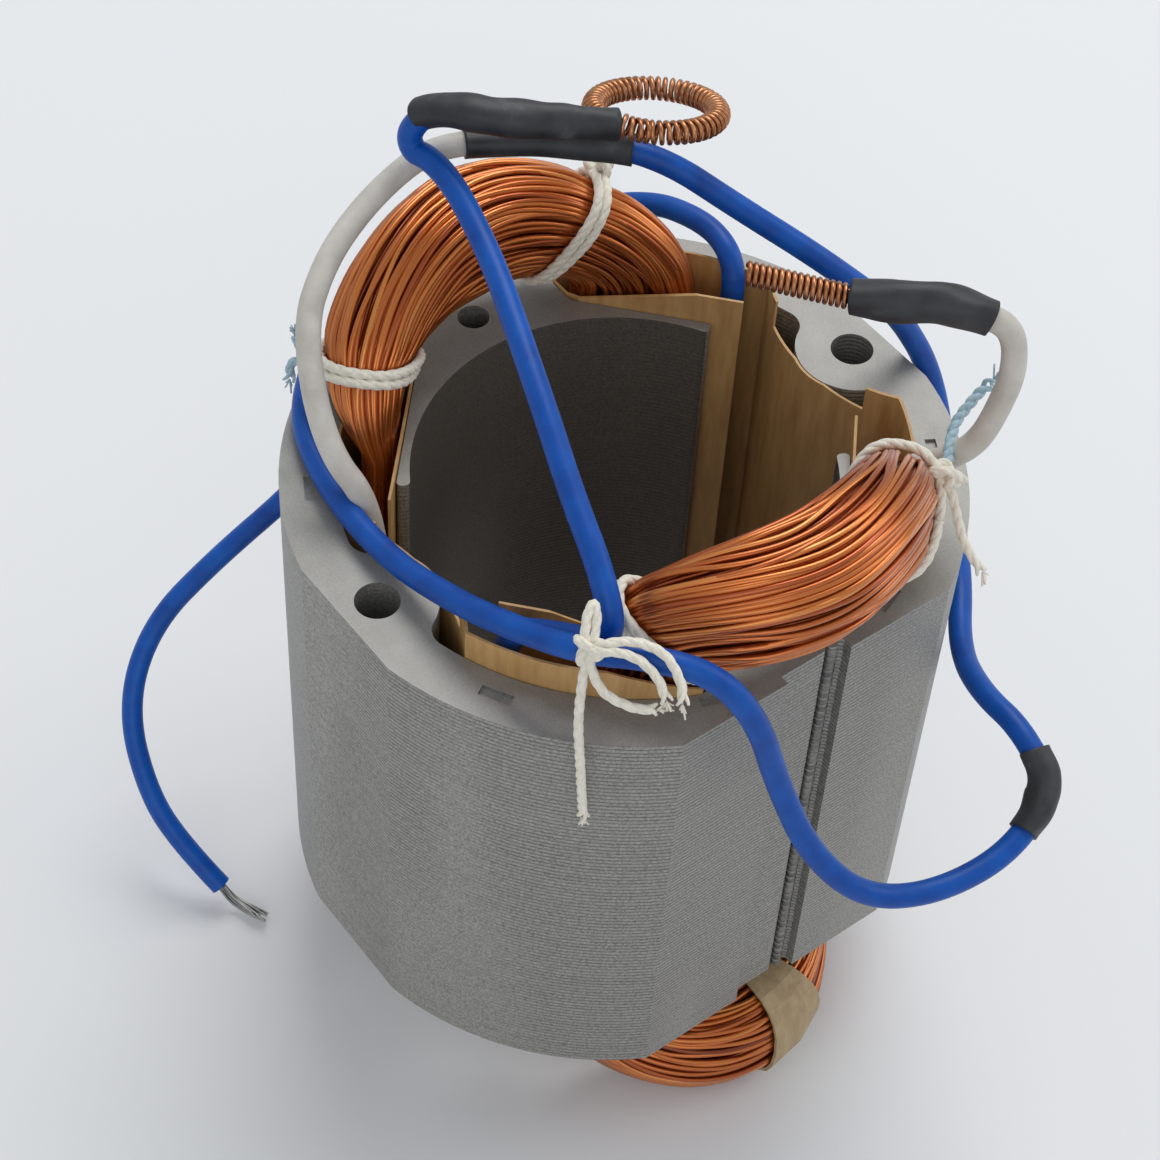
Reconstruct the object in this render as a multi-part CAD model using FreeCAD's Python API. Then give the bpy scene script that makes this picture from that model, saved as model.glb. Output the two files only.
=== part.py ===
import FreeCAD, Part
import math
import os
from collections import namedtuple

# Wound field stator of a universal motor: a welded lamination stack with two salient poles, slot liners,
# two field coils, lacing ties, tape wraps, leads, sleeves, shrink tubes and contact springs.
# Millimetres.  The origin is on the rotor axis in the stack's lower end face.  +Z runs along the rotor axis
# to the lead end, +X through the right pole and +Y through the rear screw hole.

Vector = FreeCAD.Vector

# ---- Lamination stack -------------------------------------------------------------------------------
STACK_HEIGHT = 50.0
STACK_RADIUS = 30.6
POLE_FLAT = 26.9              # rotor axis to the flat behind each pole
SCREW_FLAT = 29.9             # rotor axis to the small flat beside each screw hole
BORE_RADIUS = 19.1
YOKE_INNER_RADIUS = 25.75
POLE_HALF_WIDTH = 8.8
SHOE_HALF_ANGLE = 61.0
SHOE_TIP_THICKNESS = 1.3
SHOE_ROOT_THICKNESS = 2.7     # at the pole's neck
SHOE_TIP_FILLET = 0.45
SLOT_FILLET = 1.2             # neck to yoke
SHOE_FILLET = 0.8             # neck to shoe
SCREW_RADIUS = 2.0            # clearance hole for a 3.5 mm through screw
SCREW_OFFSET = 26.5           # rotor axis to screw hole
LOBE_WALL = 3.3               # steel round the screw hole on the slot side
LOBE_FILLET = 2.0
PILOT_RADIUS = 1.5
PILOT_OFFSET = 23.2
WELD_GROOVE_WIDTH = 7.0
WELD_GROOVE_DEPTH = 0.9
WELD_CHANNEL_WIDTH = 2.2      # deeper channel along one side of the groove
WELD_CHANNEL_DEPTH = 0.6
WELD_BEAD_RADIUS = 0.5
INTERLOCK_LENGTH = 2.9
INTERLOCK_WIDTH = 1.0
INTERLOCK_DEPTH = 0.35
INTERLOCK_RADIUS = 27.9
INTERLOCK_ANGLE = 60.0
INNER_INTERLOCK_RADIUS = 26.5
INNER_INTERLOCK_ANGLE = 20.8

# ---- Slot liners ------------------------------------------------------------------------------------
LINER_THICKNESS = 0.25
LINER_GAP = 0.1               # liner to steel
LINER_CUFF = 3.2              # stands out of each end of the slot
LINER_FLAP = 2.6              # reaches past the shoe's tip
LINER_YOKE_ANGLE = 69.0       # where the liner leaves the yoke to cross to the screw lobe
LINER_LOBE_ANGLE = 21.7       # where it meets the lobe, from the lobe's apex
LINER_BRIDGE_SAG = 0.47       # how far it bows into the slot between the two
LINER_SAG_ANGLE = 105.0
CUFF_SLOPE = 8.0              # the cuff slopes down to the pole's neck over this width
CUFF_SLOPE_REAR = 16.0        # beside the right coil, which swells over it
CUFF_SLOPE_PRESSED = 34.0     # beside the left coil, which presses the front cuff down
LINER_NOTCH_HALF_WIDTH = 6.4  # the cuff is cut flush round each screw hole

# ---- Field coils ------------------------------------------------------------------------------------
COIL_CLEARANCE = 0.2          # coil side to liner
Coil = namedtuple("Coil", "side_width crown front_bulge rear_bulge")
# side_width: bundle in the slot, along the shoe.  crown: exponent of the end turn's arch, where 2 is an
# ellipse and more is flatter on top.  bulges: how far the bundle swells out over the yoke at each slot.
RIGHT_COIL = Coil(side_width=9.6, crown=2.6, front_bulge=0.4, rear_bulge=2.4)
LEFT_COIL = Coil(side_width=12.2, crown=2.2, front_bulge=0.6, rear_bulge=3.6)    # turned half round
LOWER_CROWN = 3.0
LOWER_BULGE = 0.2
BULGE_CUBIC = 2.5             # makes the swelling peak at about 65 degrees from the crown, at full size
END_TURN_THICKNESS = 10.0
END_TURN_HEIGHT = 12.0
END_TURN_LIFT = 3.4           # stack face to the end turn
SIDE_NEAR_CLEARANCE = 1.9     # extra room at the narrow end of the slot beside the neck
SIDE_NEAR_STEP = 1.2
SIDE_TAPER = 0.12             # share of the side's width where its near edge is already rounded
BUNDLE_SQUARENESS = 0.8       # exponent of the bundle's outline: 1 is an ellipse, less is squarer
ROTOR_CLEARANCE = 0.65        # end turn to the bore's cylinder, room for the tape
STRANDS = 22                  # ridges round the bundle
STRAND_DEPTH = 0.4
END_TURN_ANGLES = (-90.0, -82.0, -72.0, -58.0, -42.0, -26.0, -13.0, 0.0, 13.0, 26.0, 42.0, 58.0, 72.0, 82.0, 90.0)

# ---- Lacing ties and tape ---------------------------------------------------------------------------
LACING_DIAMETER = 1.0
TIE_GAP = 0.42                # over the coil's strands
TIE_HALF_ANGLE = 4.0
TIE_THICKNESS = 0.8
KNOT_RADIUS = 1.3
FRONT_TAILS = [(-20.0, [(22.9, -20.4, 54.6), (23.6, -22.4, 49.6), (23.9, -21.2, 40.3)])]
REAR_TAILS = [(0.0, [(26.6, 17.4, 55.6), (29.4, 15.4, 54.0)]), (120.0, [(15.4, 20.4, 59.4), (18.3, 25.0, 62.0)])]
TAPE_THICKNESS = 0.35
TAPE_GAP = 0.12
TAPE_ANGLES = (0.0, 13.0, 26.0)
RING_SIDES = 20

# ---- Leads, sleeves, shrink tubes and springs -------------------------------------------------------
LEAD_DIAMETER = 2.2
SLEEVE_DIAMETER = 2.2
STRAND_END_DIAMETER = 1.3
SHRINK_GAP = 0.08             # lead to shrink tube
SHRINK_WALL = 0.32
SPLICE_RADIUS = 0.9
SPLICE_END_SHARE = 0.2        # of its run, left free at each end
SPRING_RADIUS = 1.1
SPRING_WIRE = 0.42
RING_SPRING_RADIUS = 5.4
RING_SPRING_TURNS = 40
STRAIGHT_SPRING_TURNS = 15
STRAIGHT_SPRING_PITCH = 0.66
SPRING_SIDES = 8

# ---- Values worked out from the sizes above ---------------------------------------------------------
SHOE_ANGLE = math.radians(SHOE_HALF_ANGLE)
SHOE_TIP_RADIUS = BORE_RADIUS + SHOE_TIP_THICKNESS
SHOE_TIP = Vector(SHOE_TIP_RADIUS * math.cos(SHOE_ANGLE), SHOE_TIP_RADIUS * math.sin(SHOE_ANGLE), 0)
SHOE_ROOT_RADIUS = BORE_RADIUS + SHOE_ROOT_THICKNESS
SHOE_ROOT = Vector(math.sqrt(SHOE_ROOT_RADIUS ** 2 - POLE_HALF_WIDTH ** 2), POLE_HALF_WIDTH, 0)
SHOE_BACK = (SHOE_ROOT - SHOE_TIP).normalize()
SHOE_NORMAL = Vector(-SHOE_BACK.y, SHOE_BACK.x, 0)
SLOT_ANGLE = math.atan2(SHOE_NORMAL.y, SHOE_NORMAL.x)
LOBE_RADIUS = SCREW_RADIUS + LOBE_WALL
LINER_DEPTH = LINER_GAP + LINER_THICKNESS
LEAD_RADIUS = LEAD_DIAMETER / 2
SLEEVE_RADIUS = SLEEVE_DIAMETER / 2

# ---- Routes of the leads and sleeves, from the slot or splice outwards ------------------------------
RISER_ROUTE = [
    (9.6, -20.9, 43.0), (10.3, -20.8, 52.4), (13.9, -19.4, 55.0), (19.5, -17.9, 58.6), (17.0, -16.8, 63.2),
    (10.7, -14.6, 65.4), (4.2, -12.5, 67.9), (-2.4, -10.3, 69.7), (-8.9, -8.0, 70.9), (-14.4, -6.6, 72.0),
    (-18.2, -6.1, 73.2), (-21.6, -6.3, 74.0), (-23.8, -7.3, 73.8), (-24.63, -7.08, 76.0), (-22.38, -5.45, 77.98),
]
LOOP_ROUTE = [
    (-25.0, -16.6, 51.3), (-21.4, -20.6, 51.3), (-13.0, -23.9, 51.3), (-2.6, -24.0, 51.6), (7.4, -23.1, 54.4),
    (15.0, -21.4, 57.0), (20.3, -19.9, 59.0), (24.3, -17.5, 59.8), (27.9, -13.6, 58.4),
    (30.6, -10.8, 53.2), (31.9, -9.0, 45.6), (35.2, -7.0, 38.0), (39.2, -2.9, 32.4), (41.8, 3.6, 30.8),
    (42.86, 11.24, 32.06), (41.86, 14.18, 33.5),
]
RETURN_ROUTE = [
    (38.96, 17.24, 35.78), (36.02, 18.01, 37.29), (30.4, 19.9, 36.4), (24.4, 23.6, 33.4),
    (17.0, 28.3, 33.0), (9.4, 32.0, 38.6), (5.2, 32.6, 46.4), (3.2, 30.4, 53.4), (1.9, 26.0, 59.4),
    (-1.4, 21.2, 64.6), (-6.2, 16.8, 68.2), (-12.16, 11.15, 72.5), (-15.01, 8.5, 72.5),
]
FREE_ROUTE = [
    (-9.6, 20.9, 43.0), (-10.2, 21.2, 53.0), (-12.6, 22.4, 58.4), (-17.6, 22.6, 61.6), (-24.0, 20.4, 60.8),
    (-30.4, 14.2, 55.6), (-33.6, 6.0, 46.0), (-35.2, -3.4, 34.6), (-37.0, -12.4, 24.0), (-39.0, -21.4, 15.6),
    (-39.5, -28.4, 8.2), (-36.4, -33.8, 1.6), (-30.0, -35.6, -5.2), (-25.0, -34.6, -9.8), (-20.9, -33.0, -13.1),
]
FRONT_SLEEVE_ROUTE = [
    (-8.1, -21.1, 43.0), (-7.8, -21.3, 51.6), (-11.4, -22.8, 57.2), (-18.0, -20.4, 64.0), (-21.2, -16.7, 67.4),
    (-23.3, -12.0, 69.6), (-24.3, -6.9, 71.0), (-23.46, -3.64, 72.5), (-21.7, -0.15, 72.5),
]
REAR_SLEEVE_ROUTE = [
    (18.2, 19.0, 55.0), (19.8, 20.2, 57.0), (21.6, 20.9, 60.0), (22.5, 21.8, 64.0), (22.6, 22.9, 68.4),
    (22.06, 21.36, 73.77), (19.6, 19.24, 74.66),
]
UPPER_SHRINK_ROUTE = [(-23.27, -6.09, 77.2), (-21.67, -4.93, 78.6), (-16.8, -0.3, 78.2), (-12.9, 7.2, 77.2)]
LOWER_SHRINK_ROUTE = [(-22.56, -1.85, 72.5), (-20.67, 1.89, 72.5), (-17.41, 6.26, 72.5), (-13.62, 9.79, 72.5)]
REAR_SHRINK_ROUTE = [(20.6, 20.1, 74.3), (18.4, 18.2, 75.1), (15.6, 14.6, 75.1), (12.4, 11.9, 74.6)]
SIDE_SHRINK_ROUTE = [(42.28, 12.96, 32.9), (41.31, 15.82, 34.3), (39.9, 17.0, 35.3), (37.75, 17.56, 36.4)]
STRAND_END_ROUTE = [(-20.87, -32.99, -13.13), (-19.1, -32.3, -14.55), (-15.8, -30.8, -14.9)]


def polar(radius, angle, height=0.0):
    return Vector(radius * math.cos(angle), radius * math.sin(angle), height)


def flat_face(edges):
    return Part.Face(Part.Wire(edges))


def polygon_wire(points):
    return Part.makePolygon(list(points) + [points[0]])


def extruded_polygon(points, height):
    return Part.Face(polygon_wire(points)).extrude(Vector(0, 0, height))


def upright_edges_near(shape, places, reach=0.15):
    """The straight edges along Z that pass within reach of the given plan points."""
    found = []
    for edge in shape.Edges:
        start, end = edge.Vertexes[0].Point, edge.Vertexes[-1].Point
        if abs(start.x - end.x) + abs(start.y - end.y) > 1e-6 or abs(start.z - end.z) < 1.0:
            continue
        if any(math.hypot(start.x - place.x, start.y - place.y) < reach for place in places):
            found.append(edge)
    return found


def four_quadrants(point):
    return [Vector(sx * point.x, sy * point.y, point.z) for sx in (1, -1) for sy in (1, -1)]


def turned(shape):
    """A copy turned half a turn about the rotor axis."""
    copy = shape.copy()
    copy.rotate(Vector(0, 0, 0), Vector(0, 0, 1), 180)
    return copy


# ---- Lamination stack -------------------------------------------------------------------------------

def slot_void():
    """The opening punched in each lamination: two slots joined by the bore."""
    height = STACK_HEIGHT
    void = Part.makeCylinder(YOKE_INNER_RADIUS, height)
    for sign in (1, -1):
        pole = [SHOE_ROOT * 1, Vector(STACK_RADIUS, POLE_HALF_WIDTH, 0), Vector(STACK_RADIUS, -POLE_HALF_WIDTH, 0),
                Vector(SHOE_ROOT.x, -SHOE_ROOT.y, 0), Vector(SHOE_TIP.x, -SHOE_TIP.y, 0), Vector(0, 0, 0), SHOE_TIP * 1]
        points = [Vector(sign * point.x, sign * point.y, 0) for point in pole]
        void = void.cut(extruded_polygon(points, height))
        lobe = Part.makeCylinder(LOBE_RADIUS, height, Vector(0, sign * SCREW_OFFSET, 0))
        void = void.cut(lobe)
    neck_corner = Vector(math.sqrt(YOKE_INNER_RADIUS ** 2 - POLE_HALF_WIDTH ** 2), POLE_HALF_WIDTH, 0)
    lobe_y = (YOKE_INNER_RADIUS ** 2 + SCREW_OFFSET ** 2 - LOBE_RADIUS ** 2) / (2 * SCREW_OFFSET)
    lobe_corner = Vector(math.sqrt(YOKE_INNER_RADIUS ** 2 - lobe_y ** 2), lobe_y, 0)
    for corner, radius in ((neck_corner, SLOT_FILLET), (SHOE_ROOT, SHOE_FILLET), (lobe_corner, LOBE_FILLET)):
        void = void.makeFillet(radius, upright_edges_near(void, four_quadrants(corner)))
    return void.fuse(Part.makeCylinder(BORE_RADIUS, height)).removeSplitter()


def weld_groove():
    """The recess in a pole's outer flat, with the deeper channel that holds the weld bead."""
    half = WELD_GROOVE_WIDTH / 2
    floor = POLE_FLAT - WELD_GROOVE_DEPTH
    bottom = floor - WELD_CHANNEL_DEPTH
    channel = half - WELD_CHANNEL_WIDTH
    hollow = Vector(bottom, half - WELD_CHANNEL_WIDTH / 2, 0)
    edges = [
        Part.makeLine(Vector(STACK_RADIUS, half, 0), Vector(STACK_RADIUS, -half, 0)),
        Part.makeLine(Vector(STACK_RADIUS, -half, 0), Vector(floor, -half, 0)),
        Part.makeLine(Vector(floor, -half, 0), Vector(floor, channel, 0)),
        Part.Arc(Vector(floor, channel, 0), hollow, Vector(floor, half, 0)).toShape(),
        Part.makeLine(Vector(floor, half, 0), Vector(STACK_RADIUS, half, 0)),
    ]
    groove = flat_face(edges).extrude(Vector(0, 0, STACK_HEIGHT))
    bead = Part.makeCylinder(WELD_BEAD_RADIUS, STACK_HEIGHT, hollow + Vector(WELD_BEAD_RADIUS * 0.5, 0, 0))
    return groove.cut(bead)


def interlocks(base):
    """The half-sheared pips that lock each lamination to the next, with their inner ends at height base."""
    pips = []
    for radius, angle in ((INTERLOCK_RADIUS, INTERLOCK_ANGLE), (INNER_INTERLOCK_RADIUS, INNER_INTERLOCK_ANGLE)):
        for centre in four_quadrants(polar(radius, math.radians(angle), base)):
            pip = Part.makeBox(INTERLOCK_WIDTH, INTERLOCK_LENGTH, INTERLOCK_DEPTH,
                               Vector(-INTERLOCK_WIDTH / 2, -INTERLOCK_LENGTH / 2, 0))
            pip.rotate(Vector(0, 0, 0), Vector(0, 0, 1), math.degrees(math.atan2(centre.y, centre.x)))
            pip.translate(centre)
            pips.append(pip)
    return Part.makeCompound(pips)


def lamination_stack():
    disc = Part.makeCylinder(STACK_RADIUS, STACK_HEIGHT)
    flats = Part.makeBox(2 * POLE_FLAT, 2 * SCREW_FLAT, STACK_HEIGHT, Vector(-POLE_FLAT, -SCREW_FLAT, 0))
    stack = disc.common(flats).cut(slot_void())
    inner_tip = polar(BORE_RADIUS, SHOE_ANGLE)
    tips = four_quadrants(inner_tip) + four_quadrants(SHOE_TIP)
    stack = stack.makeFillet(SHOE_TIP_FILLET, upright_edges_near(stack, tips))
    for sign in (1, -1):
        stack = stack.cut(Part.makeCylinder(SCREW_RADIUS, STACK_HEIGHT, Vector(0, sign * SCREW_OFFSET, 0)))
        stack = stack.cut(Part.makeCylinder(PILOT_RADIUS, STACK_HEIGHT, Vector(sign * PILOT_OFFSET, 0, 0)))
    stack = stack.cut(weld_groove()).cut(turned(weld_groove()))
    stack = stack.cut(interlocks(STACK_HEIGHT - INTERLOCK_DEPTH))
    return stack.fuse(interlocks(-INTERLOCK_DEPTH)).removeSplitter()


# ---- Slot liners ------------------------------------------------------------------------------------

def liner_half_path(sign):
    """Corner points of one half of the liner's outer face, from its flap round the slot to the screw lobe."""
    back_distance = SHOE_TIP.dot(SHOE_NORMAL) + LINER_GAP
    tip_run = SHOE_TIP.dot(SHOE_BACK)
    flap = SHOE_NORMAL * back_distance + SHOE_BACK * (tip_run - LINER_FLAP)
    neck_y = POLE_HALF_WIDTH + LINER_GAP
    root_run = (SHOE_NORMAL.y * back_distance - neck_y) / -SHOE_BACK.y
    root = SHOE_NORMAL * back_distance + SHOE_BACK * root_run
    yoke_radius = YOKE_INNER_RADIUS - LINER_GAP
    corner = Vector(math.sqrt(yoke_radius ** 2 - neck_y ** 2), neck_y, 0)
    corner_angle = math.atan2(corner.y, corner.x) + SLOT_FILLET / yoke_radius
    leave_angle = math.radians(LINER_YOKE_ANGLE)
    leave = polar(yoke_radius, leave_angle)
    lobe_reach = LOBE_RADIUS + LINER_GAP
    lobe_turn = math.radians(LINER_LOBE_ANGLE)
    lobe = Vector(lobe_reach * math.sin(lobe_turn), SCREW_OFFSET - lobe_reach * math.cos(lobe_turn), 0)
    half = [
        flap, root - SHOE_BACK * SHOE_FILLET, root + Vector(SHOE_FILLET, 0, 0), corner - Vector(SLOT_FILLET, 0, 0),
        polar(yoke_radius, corner_angle), polar(yoke_radius, (corner_angle + leave_angle) / 2), leave,
        (leave + lobe) * 0.5 - polar(LINER_BRIDGE_SAG, math.radians(LINER_SAG_ANGLE)), lobe,
    ]
    return [Vector(sign * point.x, point.y, 0) for point in half]


def slot_liner(right_slope, left_slope):
    """The liner of the rear slot: one strip of paper folded round both coil sides and the screw lobe.

    Its cuffs slope down to each pole's neck over the widths right_slope and left_slope.
    """
    edges = []
    right = liner_half_path(1)
    left = liner_half_path(-1)
    for half in (right, left):
        edges += [Part.makeLine(start, end) for start, end in zip(half[:4], half[1:5])]
        edges.append(Part.Arc(*half[4:7]).toShape())
        edges.append(Part.Arc(*half[6:9]).toShape())
    apex = Vector(0, SCREW_OFFSET - LOBE_RADIUS - LINER_GAP, 0)
    edges.append(Part.Arc(right[-1], apex, left[-1]).toShape())
    path = Part.Wire(Part.sortEdges(edges)[0])
    strip = path.makeOffset2D(-LINER_THICKNESS, 0, True, True, False)
    base = -LINER_CUFF
    liner = strip.extrude(Vector(0, 0, STACK_HEIGHT + 2 * LINER_CUFF))
    liner.translate(Vector(0, 0, base))
    return liner.cut(cuff_cuts(right_slope, left_slope))


def cuff_cuts(right_slope, left_slope):
    """What is trimmed from the cuffs: a notch round the screw hole and a slope down to each pole's neck."""
    top = LINER_CUFF + 1
    reach = STACK_RADIUS
    upper = Part.makeBox(2 * LINER_NOTCH_HALF_WIDTH, reach, top, Vector(-LINER_NOTCH_HALF_WIDTH, 0, STACK_HEIGHT))
    for sign, slope in ((1, right_slope), (-1, left_slope)):
        full_y = POLE_HALF_WIDTH + slope
        profile = [Vector(0, 0, STACK_HEIGHT), Vector(0, POLE_HALF_WIDTH, STACK_HEIGHT),
                   Vector(0, full_y, STACK_HEIGHT + LINER_CUFF), Vector(0, full_y, STACK_HEIGHT + top),
                   Vector(0, 0, STACK_HEIGHT + top)]
        upper = upper.fuse(Part.Face(polygon_wire(profile)).extrude(Vector(sign * reach, 0, 0)))
    lower = upper.mirror(Vector(0, 0, STACK_HEIGHT / 2), Vector(0, 0, 1))
    return upper.fuse(lower)


# ---- Field coils ------------------------------------------------------------------------------------

def coil_station(angle, coil):
    """Centre, outward and upward half axes of the right-hand bundle at an angle along its upper end turn.

    At -90 and 90 degrees the bundle leaves the front and rear slots; at 0 it crosses the pole.
    """
    along = math.sin(math.radians(angle))
    rise = max(0.0, 1 - abs(along) ** coil.crown) ** (1 / coil.crown)
    spread = math.cos(math.radians(angle)) ** 2
    bulge = coil.front_bulge if along < 0 else coil.rear_bulge
    swell = BULGE_CUBIC * abs(along) ** 3 * rise * bulge
    inner_reach = SHOE_TIP.dot(SHOE_NORMAL) + LINER_DEPTH + COIL_CLEARANCE
    outer_radius = YOKE_INNER_RADIUS - LINER_DEPTH - COIL_CLEARANCE
    neck = POLE_HALF_WIDTH + LINER_DEPTH + COIL_CLEARANCE
    near_run = (SHOE_NORMAL.y * (inner_reach + SIDE_NEAR_CLEARANCE) - neck) / -SHOE_BACK.y - SIDE_NEAR_STEP
    far_run = near_run - coil.side_width
    end_run = max(abs(near_run - coil.side_width * SIDE_TAPER), abs(far_run))
    side_thickness = math.sqrt(outer_radius ** 2 - end_run ** 2) - inner_reach
    middle_line = SHOE_NORMAL * (inner_reach + side_thickness / 2)
    near = middle_line + SHOE_BACK * near_run
    far = middle_line + SHOE_BACK * far_run
    crossing = BORE_RADIUS + ROTOR_CLEARANCE + END_TURN_THICKNESS / 2
    low = Vector(near.x + (crossing - near.x) * spread, near.y * along, STACK_HEIGHT + END_TURN_LIFT * rise)
    high = Vector(far.x + (crossing - far.x) * spread, far.y * along,
                  STACK_HEIGHT + (END_TURN_LIFT + END_TURN_HEIGHT) * rise)
    outward = polar(1.0, SLOT_ANGLE * along)
    thickness = side_thickness + (END_TURN_THICKNESS - side_thickness) * spread + swell
    return (low + high) * 0.5 + outward * (swell / 2), outward * (thickness / 2), (high - low) * 0.5


def bundle_point(angle, coil, turn, extra=0.0, groove=0.0):
    """The point at an angle of turn round the bundle's section, moved out by extra less groove."""
    centre, outward, upward = coil_station(angle, coil)
    wide = math.copysign(abs(math.cos(turn)) ** BUNDLE_SQUARENESS, math.cos(turn))
    tall = math.copysign(abs(math.sin(turn)) ** BUNDLE_SQUARENESS, math.sin(turn))
    sunk = 1 - groove / outward.Length
    across = outward * ((outward.Length + extra) / outward.Length * wide * sunk)
    return centre + across + upward * ((upward.Length + extra) / upward.Length * tall * sunk)


def bundle_outline(angle, coil, sides, extra=0.0, groove=0.0):
    """Points round the bundle at a station, grown by extra; every other one is sunk by groove."""
    turns = [2 * math.pi * index / sides for index in range(sides)]
    return [bundle_point(angle, coil, turn, extra, groove * (index % 2)) for index, turn in enumerate(turns)]


def lower_end_turn(coil):
    """The coil's lower end turn, as seen from below: it is the flatter one that the part stands on."""
    return coil._replace(crown=LOWER_CROWN, front_bulge=LOWER_BULGE, rear_bulge=LOWER_BULGE)


def lowered(point):
    """The same place on the lower end turn."""
    return Vector(point.x, point.y, STACK_HEIGHT - point.z)


def field_coil(coil):
    """The right-hand coil: one closed bundle of strands round its pole."""
    points = 2 * STRANDS
    under = lower_end_turn(coil)
    upper = [bundle_outline(angle, coil, points, groove=STRAND_DEPTH) for angle in END_TURN_ANGLES]
    lower = [bundle_outline(angle, under, points, groove=STRAND_DEPTH) for angle in reversed(END_TURN_ANGLES)]
    sections = [polygon_wire(outline) for outline in upper]
    sections += [polygon_wire([lowered(point) for point in outline]) for outline in lower]
    return Part.makeLoft(sections, True, True, True)


def bundle_ring(angles, coil, gap, thickness):
    """A band round the right-hand coil's upper end turn through the given stations."""
    skins = []
    for extra in (gap + thickness, gap):
        outlines = [bundle_outline(angle, coil, RING_SIDES, extra) for angle in angles]
        skins.append(Part.makeLoft([polygon_wire(outline) for outline in outlines], True, True))
    return skins[0].cut(skins[1])


# ---- Cords ------------------------------------------------------------------------------------------

def rounded_path(points):
    """Straight runs joined by tangent arcs, each as large as its two runs allow."""
    stops = [Vector(*point) for point in points]
    edges = []
    start = stops[0]
    for before, corner, after in zip(stops, stops[1:], stops[2:]):
        inward = (corner - before).normalize()
        outward = (after - corner).normalize()
        half_turn = inward.getAngle(outward) / 2
        setback = 0.45 * min((corner - before).Length, (after - corner).Length)
        arc_start = corner - inward * setback
        arc_end = corner + outward * setback
        bisector = (outward - inward).normalize()
        radius = setback / math.tan(half_turn)
        middle = corner + bisector * (radius / math.cos(half_turn) - radius)
        edges.append(Part.LineSegment(start, arc_start).toShape())
        edges.append(Part.Arc(arc_start, middle, arc_end).toShape())
        start = arc_end
    edges.append(Part.LineSegment(start, stops[-1]).toShape())
    return Part.Wire(edges)


def tube(points, radius):
    path = rounded_path(points)
    start = Vector(*points[0])
    along = (Vector(*points[1]) - start).normalize()
    section = Part.Wire(Part.makeCircle(radius, start, along))
    return path.makePipeShell([section], True, False)


def shrink_tube(route, inner_radius):
    return tube(route, inner_radius + SHRINK_WALL).cut(tube(route, inner_radius))


def splice(route):
    """The soldered barrel inside a shrink tube, along the tube's middle run."""
    start = Vector(*route[-3])
    run = Vector(*route[-2]) - start
    barrel = run * (1 - 2 * SPLICE_END_SHARE)
    return Part.makeCylinder(SPLICE_RADIUS, barrel.Length, start + run * SPLICE_END_SHARE, barrel)


# ---- Springs ----------------------------------------------------------------------------------------

def spring_coils(stations, turns_each):
    """Closely wound turns along a line of (point, direction) stations: each turn swells and sinks."""
    sections = []
    for index, (point, along) in enumerate(stations):
        radius = SPRING_RADIUS - (SPRING_WIRE * 0.6 if index % turns_each else 0.0)
        side = along.cross(Vector(0, 0, 1)).normalize()
        over = side.cross(along).normalize()
        outline = []
        for corner in range(SPRING_SIDES):
            turn = 2 * math.pi * corner / SPRING_SIDES
            outline.append(point + side * (radius * math.cos(turn)) + over * (radius * math.sin(turn)))
        sections.append(polygon_wire(outline))
    return Part.makeLoft(sections, True, True)


RING_CENTRE = Vector(-14.65, 12.83, 74.8)
RING_RIGHT = Vector(0.640, 0.768, 0.0)      # the ring's own axes: it hangs down at its far side
RING_FAR = Vector(-0.665, 0.554, -0.5)
RING_START_ANGLE = -95.0
RING_END_ANGLE = 213.0
RING_ENTRY_REACH = 1.4
SPRING_END_GAP = 0.15         # to the face of its splice
RING_ENTRY_STEPS = 6


def ring_spring():
    """The spring bent into a ring, from inside the upper shrink tube round to the tube again."""
    stations = []
    mouth = Vector(*UPPER_SHRINK_ROUTE[-1])
    entry = (mouth - Vector(*UPPER_SHRINK_ROUTE[-2])).normalize()
    steps = 2 * RING_SPRING_TURNS

    def on_ring(degrees):
        angle = math.radians(degrees)
        point = RING_CENTRE + (RING_RIGHT * math.cos(angle) + RING_FAR * math.sin(angle)) * RING_SPRING_RADIUS
        return point, (RING_FAR * math.cos(angle) - RING_RIGHT * math.sin(angle)).normalize()

    start, start_along = on_ring(RING_START_ANGLE)
    inside = mouth + entry * SPRING_END_GAP
    control = start - start_along * RING_ENTRY_REACH
    for step in range(RING_ENTRY_STEPS):
        t = step / RING_ENTRY_STEPS
        point = inside * (1 - t) ** 2 + control * (2 * t * (1 - t)) + start * t ** 2
        along = (control - inside) * (1 - t) + (start - control) * t
        stations.append((point, along.normalize()))
    for step in range(steps + 1):
        degrees = RING_START_ANGLE + (RING_END_ANGLE - RING_START_ANGLE) * step / steps
        stations.append(on_ring(degrees))
    return spring_coils(stations, 2)


def straight_spring():
    start = Vector(*REAR_SHRINK_ROUTE[-1])
    along = (start - Vector(*REAR_SHRINK_ROUTE[-2])).normalize()
    steps = 2 * STRAIGHT_SPRING_TURNS
    stations = [(start + along * (SPRING_END_GAP + STRAIGHT_SPRING_PITCH * step / 2), along) for step in range(steps + 1)]
    return spring_coils(stations, 2)


# ---- Lacing ties ------------------------------------------------------------------------------------

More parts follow.
